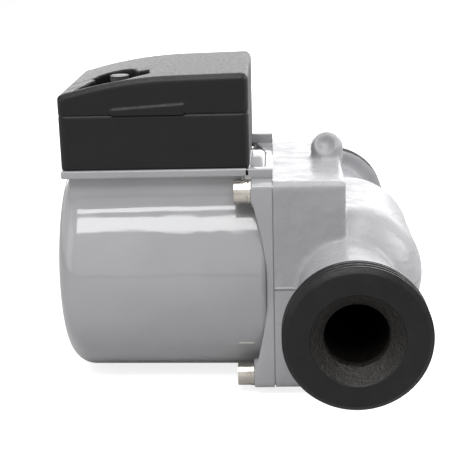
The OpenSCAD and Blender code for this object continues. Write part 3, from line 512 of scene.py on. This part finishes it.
def motorFlange(c):
    # Rows from the drum's rear end over the dished flange face to the joint: the face is a
    # cone in the radius, flat on the four ears, and its rim is the rounded rectangle
    dishX = c["jointX"] - c["flangeMidThick"]
    dishR = c["rearRadius"] - c["dishDrop"]
    reach = roundedBoxReach(turn, c["flangeHalfY"], c["flangeHalfZ"], c["flangeCorner"])
    share = np.linspace(0, 1, 44)[:, None]
    radius = dishR + (reach - c["flangeEdge"] - dishR) * share
    radius = np.maximum(radius, np.minimum(dishR, reach - c["flangeEdge"]))
    x = dishX - c["dishSlope"] * np.maximum(radius - dishR, 0)
    y, z = radius * np.cos(turn), radius * np.sin(turn)
    toEar = np.hypot(np.abs(y) - c["screwOffset"], np.abs(z) - c["screwOffset"])
    ear = 1 - easeStep(toEar, c["earRadius"] - c["earEaseIn"], c["earRadius"] + c["earEaseOut"])
    x = x + (c["jointX"] - c["flangeThick"] - x) * ear
    x = np.maximum(x, c["jointX"] - c["flangeThick"])
    bend = np.linspace(0, np.pi / 2, 5)[1:, None]
    rimX = x[-1] + c["flangeEdge"] * (1 - np.cos(bend))
    rimR = reach - c["flangeEdge"] + c["flangeEdge"] * np.sin(bend)
    # A shallow step behind the rim leaves the dark line of the gasket joint
    endX = np.array([[c["jointX"] - c["jointGap"]], [c["jointX"] - c["jointGap"]],
                     [c["jointX"]]]) + 0 * turn
    endR = np.vstack([reach, reach - c["jointDeep"], reach - c["jointDeep"]])
    return np.vstack([x, rimX, endX]), np.vstack([radius, rimR, endR])


def steadyRows(pairs):
    # Rows of constant radius and x, from a list of [radius, x]
    pairs = np.array(pairs)
    return pairs[:, 1:] + 0 * turn, pairs[:, :1] + 0 * turn


def buildMotorCasting():
    c = motorCasting
    innerX = c["frontX"] + c["frontWall"]
    front = steadyRows([[c["ventHole"], innerX], [c["ventHole"], c["frontX"] + c["sealSeatDepth"]],
                        [c["sealSeatRadius"], c["frontX"] + c["sealSeatDepth"]],
                        [c["sealSeatRadius"], c["frontX"]], [c["plateInner"], c["frontX"]],
                        [c["plateInner"], c["frontX"] + c["plateRecess"]],
                        [c["plateOuter"], c["frontX"] + c["plateRecess"]],
                        [c["plateOuter"], c["frontX"]]])
    side = motorSide(c)
    rearX = c["jointX"] - c["flangeMidThick"] - c["rearRound"]
    bend = np.linspace(0, np.pi / 2, 8)[1:]
    rear = steadyRows(np.stack([c["rearRadius"] - c["dishDrop"] * (1 - np.cos(bend)),
                                rearX + c["rearRound"] * np.sin(bend)], axis=1))
    flange = motorFlange(c)
    inside = steadyRows([[c["cavityRadius"], c["jointX"]], [c["cavityRadius"], innerX]])
    x = np.vstack([part[0] for part in (front, side, rear, flange, inside)])
    radius = np.vstack([part[1] for part in (front, side, rear, flange, inside)])
    points = np.stack([x, radius * np.cos(turn), radius * np.sin(turn)], axis=-1)
    newPiece("motorCasting", gridMesh("motorCasting", points, True), "castMotor", "root",
             ["stator_housing"])


def boxMesh(name, blocks):
    # One mesh of straight blocks, each given by two corners
    mesh = bpy.data.meshes.new(name)
    corners = np.array([[x, y, z] for x in (0, 1) for y in (0, 1) for z in (0, 1)])
    faces = np.array([[0, 1, 3, 2], [4, 6, 7, 5], [0, 4, 5, 1], [2, 3, 7, 6], [0, 2, 6, 4],
                      [1, 5, 7, 3]])
    points = [np.array(low) + corners * (np.array(high) - low) for low, high in blocks]
    allFaces = [faces + 8 * i for i in range(len(blocks))]
    mesh.from_pydata(toFrame(np.vstack(points)).tolist(), [], np.vstack(allFaces).tolist())
    return mesh


boxPlatform = {"halfY": 32.6, "low": 39.6, "frontX": motorCasting["frontX"] + 2.9,
               "railWidth": 3.0, "railLow": 38.3, "railOverlap": 2.0,
               "edge": 0.55}


def buildPlatform():
    c = boxPlatform
    top = baseLow[2]
    jointX = motorCasting["jointX"]
    rearX = baseHigh[0]
    blocks = [([c["frontX"], -c["halfY"], c["low"]], [rearX, c["halfY"], top])]
    for side in (-1, 1):
        ys = sorted([side * c["halfY"], side * (c["halfY"] - c["railWidth"])])
        blocks.append(([rearX - c["railOverlap"], ys[0], c["railLow"]], [jointX, ys[1], top]))
    piece = newPiece("boxPlatform", boxMesh("boxPlatform", blocks), "castMotor", "root")
    bevel = piece.modifiers.new("Bevel", "BEVEL")
    bevel.width = c["edge"] * mm
    bevel.segments = 3
    applied(piece)
    smoothShade(piece.data)


# Pump housing: the casting between the two rings, and the rings

pumpCasting = {"voxel": 0.85, "passes": 7, "ringEndY": 81.7, "jointOverlap": 3.0, "jointBand": 0.01,
               "ductEnd": 33.0, "boreReach": 15.8, "channelX": 3.2, "ductReach": 18.0,
               "voluteReach": 37.5, "voluteRear": -3.0}


def buildPumpCasting():
    # The CAD form with its edges rounded as a sand mould leaves them: remeshed, smoothed,
    # then cut flat again at the joint face and inside the two rings
    c = pumpCasting
    copy = workingCopy("pump_housing")
    points = meshPoints(copy.data)
    atJoint = points[:, 0] < housingLow[0] + c["jointBand"]
    points[atJoint, 0] -= c["jointOverlap"]
    setMeshPoints(copy.data, points)
    mesh = softened(copy, c["voxel"], c["passes"])
    cutFlat(mesh, [housingLow[0], 0, 0], (-1, 0, 0))
    for side in (-1, 1):
        cutFlat(mesh, [0, side * c["ringEndY"], 0], (0, side, 0))
    smoothShade(mesh)
    bpy.data.objects.remove(copy)
    newPiece("pumpCasting", mesh, "castHousing", "root", ["pump_housing"])
    # The water ways stay raw: the bores, the ducts in the round channel, and the volute
    mesh.materials.append(finishes["boreIron"])
    x, y, z = polygonCentres(mesh).T
    raw = (((np.abs(y) > c["ductEnd"]) & (np.hypot(x, z) < c["boreReach"]))
           | ((np.abs(y) <= c["ductEnd"]) & (np.hypot(x - c["channelX"], z) < c["ductReach"]))
           | ((np.hypot(y, z) < c["voluteReach"]) & (x < c["voluteRear"])))
    mesh.polygons.foreach_set("material_index", raw.astype(int))


portRing = {"crest": mounts["inlet_thread"]["dims"]["r_mm"],
            "bore": mounts["inlet_bore"]["dims"]["r_mm"],
            "startY": 81.0, "faceY": housingHigh[1], "pitch": 2.309, "depth": 1.3,
            "chamfer": 1.7, "chamferLength": 1.2, "sinkRadius": 15.0, "sinkDepth": 4.8,
            "sinkInset": 0.05, "boreEase": 0.3, "boreLip": 0.4, "landLength": 1.1,
            "fadeHalf": 0.5, "grooveHalf": 0.36, "flank": 0.3, "edge": 0.35,
            "edgeShare": (0.6, 0.25), "paintReach": 0.5}


def buildPortRing(name, side):
    # A closed ring turned about the port axis. Its outside is a helical thread: the crest
    # radius less a trapezoid wave of y + pitch * angle / turn, faded out at both ends
    c = portRing
    threadEnd = c["faceY"] - c["chamferLength"]
    ys = np.linspace(c["startY"], threadEnd, 84)
    wave = ((ys[:, None] - c["startY"]) / c["pitch"] + turn / (2 * np.pi)) % 1.0
    groove = np.clip((c["grooveHalf"] - np.abs(wave - 0.5)) / c["flank"], 0, 1)
    landEnd = c["startY"] + c["landLength"]
    fade = (easeStep(ys, landEnd - c["fadeHalf"], landEnd + c["fadeHalf"])
            * (1 - easeStep(ys, threadEnd - c["fadeHalf"], threadEnd)))
    threadR = c["crest"] - c["depth"] * groove * fade[:, None]
    threadY = ys[:, None] + 0 * turn
    faceR = c["crest"] - c["chamfer"]
    edge = c["edge"]
    sinkEnd = c["faceY"] - c["sinkDepth"]
    sink = np.stack([np.linspace(c["sinkRadius"], c["bore"] + c["boreEase"], 10),
                     np.linspace(c["faceY"] - edge, sinkEnd, 10)], axis=1)
    pairs = [[c["bore"], c["startY"]], [c["crest"], c["startY"]]]
    tail = [[faceR + edge * c["edgeShare"][0], c["faceY"] - edge * c["edgeShare"][1]],
            [faceR, c["faceY"]], [c["sinkRadius"] + edge, c["faceY"]], *sink,
            [c["bore"], sinkEnd - c["boreLip"]]]
    firstY, firstR = steadyRows(pairs)
    lastY, lastR = steadyRows(tail)
    y = np.vstack([firstY, threadY, lastY]) * side
    r = np.vstack([firstR, threadR, lastR])
    points = np.stack([r * np.cos(turn), y, r * np.sin(turn)], axis=-1)
    mesh = gridMesh(name, points, True)
    newPiece(name, mesh, "threadBlack", "root")
    mesh.materials.append(finishes["sinkIron"])
    mesh.materials.append(finishes["castHousing"])
    centres = polygonCentres(mesh)
    fromAxis = np.hypot(centres[:, 0], centres[:, 2])
    isSink = fromAxis < c["sinkRadius"] - c["sinkInset"]
    isBack = np.abs(centres[:, 1]) < c["startY"] + c["paintReach"]
    mesh.polygons.foreach_set("material_index", np.where(isBack, 2, isSink).astype(int))


# Terminal box

boxCover = {"voxel": 0.5, "passes": 2, "edge": 2.4, "fall": 1.1, "curveRadius": 150.0,
            "curveStart": 26.0, "markWidth": 0.9, "markDeep": 0.7, "markFrom": 2.0,
            "markAbove": 3.0,
            "markShares": [[0.075, 0.045], [0.105, 0.185], [0.205, 0.39]]}


def coverTop(x):
    # Height of the cover's top: a slight straight fall, then a parabola towards the front
    c = boxCover
    away = baseHigh[0] - x
    past = np.maximum(away - c["curveStart"], 0)
    straight = away * math.tan(math.radians(c["fall"]))
    return coverHigh[2] - straight - past ** 2 / (2 * c["curveRadius"])


def cutMark(piece, endShare):
    # A groove that follows the cover's top: the section at each x is a small rectangle whose
    # floor lies markDeep under coverTop(x)
    c = boxCover
    span = baseHigh - baseLow
    x = np.linspace(baseLow[0] + c["markFrom"], baseLow[0] + endShare[0] * span[0], 12)[:, None]
    y = baseLow[1] + endShare[1] * span[1] + c["markWidth"] * np.array([-0.5, 0.5, 0.5, -0.5])
    z = coverTop(x) + np.array([-c["markDeep"], -c["markDeep"], c["markAbove"], c["markAbove"]])
    points = np.stack(np.broadcast_arrays(x, y, z), axis=-1)
    mesh = gridMesh("markCutter", points)
    bm = bmesh.new()
    bm.from_mesh(mesh)
    bmesh.ops.holes_fill(bm, edges=bm.edges, sides=4)
    bmesh.ops.recalc_face_normals(bm, faces=bm.faces)
    bm.to_mesh(mesh)
    bm.free()
    cutter = bpy.data.objects.new("markCutter", mesh)
    bpy.context.scene.collection.objects.link(cutter)
    cut = piece.modifiers.new("Mark", "BOOLEAN")
    cut.operation = "DIFFERENCE"
    cut.solver = "EXACT"
    cut.object = cutter
    made = applied(piece)
    bpy.data.objects.remove(cutter)
    return made


def buildCover():
    # The CAD cover, remeshed, with its long top edges pressed from square to round: a point
    # at (a, b) from the edge's centre line moves to the same ring of a circle
    c = boxCover
    copy = workingCopy("terminal_box_cover")
    mesh = softened(copy, c["voxel"], c["passes"])
    points = meshPoints(mesh)
    a = np.abs(points[:, 1]) - (baseHigh[1] - c["edge"])
    b = points[:, 2] - (coverTop(points[:, 0]) - c["edge"])
    inEdge = (a > 0) & (b > 0)
    scale = np.where(inEdge, np.maximum(a, b) / np.maximum(np.hypot(a, b), 1e-6), 1)
    points[:, 1] -= np.sign(points[:, 1]) * np.where(inEdge, a * (1 - scale), 0)
    points[:, 2] -= np.where(inEdge, b * (1 - scale), 0)
    setMeshPoints(mesh, points)
    for share in c["markShares"]:
        mesh = cutMark(copy, share)
    smoothShade(mesh)
    bpy.data.objects.remove(copy)
    newPiece("boxCover", mesh, "boxAbs", "root", ["terminal_box_cover"])


def buildBase():
    copy = workingCopy("terminal_box_base")
    mesh = softened(copy, boxCover["voxel"], boxCover["passes"])
    smoothShade(mesh)
    bpy.data.objects.remove(copy)
    newPiece("boxBase", mesh, "boxAbs", "root", ["terminal_box_base"])


buildMotorCasting()
buildPlatform()
print("motor casting done")
buildPumpCasting()
buildPortRing("inletRing", -1)
buildPortRing("outletRing", 1)
print("pump housing done")
buildCover()
buildBase()
print("terminal box done")


# Finishes of the CAD nodes that stay as they are

nodeFinish = {
    "neck_ring": "stainlessSheet", "impeller": "impellerPlastic",
    "impeller_shroud": "impellerPlastic", "split_cone": "brass",
    "bearing_plate": "stainlessSheet", "housing_gasket": "rubber",
    "front_bearing": "ceramicDark", "rear_bearing": "ceramicDark",
    "thrust_bearing": "ceramicDark", "thrust_collar": "rubber", "shaft": "ceramicWhite",
    "rotor_core": "coreSteel", "rotor_end_rings": "castAluminium",
    "rotor_sleeve": "stainlessSheet", "rotor_can": "stainlessSheet", "stator_core": "coreSteel",
    "stator_windings": "copper", "stator_leads": "leadSleeve", "nameplate": "plateAluminium",
    "vent_screw": "brass", "vent_o_ring": "rubber", "housing_screws": "stainlessBolt",
    "spring_washers": "stainlessBolt", "box_gasket": "rubber", "box_screws": "stainlessBolt",
    "speed_knob": "knobPlastic", "speed_switch": "whitePlastic", "capacitor": "whitePlastic",
    "terminal_block": "whitePlastic", "terminal_screws": "brass", "earth_screw": "brass",
    "gland_body": "nylon", "gland_locknut": "nylon", "gland_seal": "rubber", "gland_nut": "nylon",
}
edgeWidth = {"housing_screws": 0.35, "gland_nut": 0.6, "gland_body": 0.4, "vent_screw": 0.6,
             "speed_knob": 0.4, "spring_washers": 0.15, "nameplate": 0.1}

for node, finish in nodeFinish.items():
    piece = frame["nodes"][node]
    piece.data.materials.clear()
    piece.data.materials.append(finishes[finish])
    if node in edgeWidth:
        weld = piece.modifiers.new("Weld", "WELD")
        weld.merge_threshold = weldDistance
        bevel = piece.modifiers.new("Bevel", "BEVEL")
        bevel.width = edgeWidth[node] * mm
        bevel.segments = 3
        bevel.limit_method = "ANGLE"
        bevel.angle_limit = math.radians(sharpDegrees)
print("CAD nodes dressed:", len(nodeFinish))


# Floor, light and camera

studio = {"floorZ": motorLow[2] - 0.2, "floorHalf": 3.0, "floorShade": (0.72, 0.72, 0.72, 1),
          "floorGlow": 0.8, "worldFill": 0.2, "aim": (-40, 0, 10),
          "strip": {"place": (-60, -620, 780), "size": (900, 270), "power": 5.2},
          "top": {"place": (0, -20, 1000), "size": (900, 600), "power": 5.2},
          "right": {"place": (900, 150, 520), "size": (500, 700), "power": 5.4},
          "left": {"place": (-950, -450, 350), "size": (500, 700), "power": 1.0},
          "back": {"place": (-20, 1100, 330), "size": (1800, 700), "power": 7.0}}


def isSeen(tree):
    # 1 for camera, glossy and transmission rays, 0 for diffuse light
    path = addNode(tree, "LightPath")
    first = addNode(tree, "Math", {"operation": "MAXIMUM"},
                    {0: path.outputs["Is Camera Ray"], 1: path.outputs["Is Glossy Ray"]})
    return addNode(tree, "Math", {"operation": "MAXIMUM"},
                   {0: first.outputs[0], 1: path.outputs["Is Transmission Ray"]}).outputs[0]


def buildWorld():
    world = bpy.data.worlds.new("studioWorld")
    world.use_nodes = True
    tree = world.node_tree
    tree.nodes.clear()
    strength = addNode(tree, "MapRange", {"To Min": studio["worldFill"], "To Max": 1.0},
                       {"Value": isSeen(tree)})
    sky = addNode(tree, "Background", {"Color": (1, 1, 1, 1)}, {"Strength": strength.outputs[0]})
    addNode(tree, "OutputWorld", None, {"Surface": sky.outputs[0]})
    bpy.context.scene.world = world


def buildFloor():
    half = studio["floorHalf"] / mm
    z = studio["floorZ"]
    mesh = bpy.data.meshes.new("studioFloor")
    mesh.from_pydata(toFrame([[-half, -half, z], [half, -half, z], [half, half, z],
                              [-half, half, z]]).tolist(), [], [(0, 1, 2, 3)])
    floor = bpy.data.objects.new("studioFloor", mesh)
    bpy.context.scene.collection.objects.link(floor)
    material, tree, shader = startMaterial("paleStudioFloor",
                                           {"Base Color": studio["floorShade"], "Roughness": 0.9,
                                            "Specular IOR Level": 0.0})
    glow = addNode(tree, "Emission", {"Color": (1, 1, 1, 1), "Strength": studio["floorGlow"]})
    both = addNode(tree, "AddShader", None, {0: shader.outputs[0], 1: glow.outputs[0]})
    camera = addNode(tree, "LightPath").outputs["Is Camera Ray"]
    plain = addNode(tree, "MixShader", None, {0: camera, 1: shader.outputs[0],
                                              2: both.outputs[0]})
    output = next(n for n in tree.nodes if n.type == "OUTPUT_MATERIAL")
    tree.links.new(plain.outputs[0], output.inputs["Surface"])
    mesh.materials.append(material)


def addSoftbox(name, c):
    lamp = bpy.data.lights.new(name, "AREA")
    lamp.shape = "RECTANGLE"
    lamp.size, lamp.size_y = c["size"][0] * mm, c["size"][1] * mm
    lamp.energy = c["power"]
    box = bpy.data.objects.new(name, lamp)
    bpy.context.scene.collection.objects.link(box)
    place, target = toFrame([c["place"]])[0], toFrame([studio["aim"]])[0]
    back = place - target
    back = back / np.linalg.norm(back)
    right = np.cross((0, 0, 1), back)
    right = right / np.linalg.norm(right)
    up = np.cross(back, right)
    turned = Matrix([[right[i], up[i], back[i], place[i]] for i in range(3)] + [[0, 0, 0, 1]])
    box.matrix_world = turned
    box.visible_camera = False


# The photograph's camera: focal length in pixels of its 450-pixel frame, and where it stands
photoCamera = {"focalPixels": 1120.47, "framePixels": 450, "place": (-25.129, -417.013, 132.350),
               "right": (0.99886446, 0.03972308, -0.02630322),
               "up": (0.01430668, 0.27652304, 0.96090079),
               "forward": (-0.04544338, 0.96018596, -0.27564073)}


def buildCamera():
    c = photoCamera
    lens = bpy.data.cameras.new("photoCamera")
    lens.sensor_width = 36
    lens.lens = c["focalPixels"] / c["framePixels"] * lens.sensor_width
    camera = bpy.data.objects.new("photoCamera", lens)
    bpy.context.scene.collection.objects.link(camera)
    place = toFrame([c["place"]])[0]
    camera.matrix_world = Matrix([[c["right"][i], c["up"][i], -c["forward"][i], place[i]]
                                  for i in range(3)] + [[0, 0, 0, 1]])
    bpy.context.scene.camera = camera


buildWorld()
buildFloor()
for name in ("strip", "top", "right", "left", "back"):
    addSoftbox(name + "Softbox", studio[name])
buildCamera()
bpy.context.scene.view_settings.view_transform = "Standard"
print("studio ready")
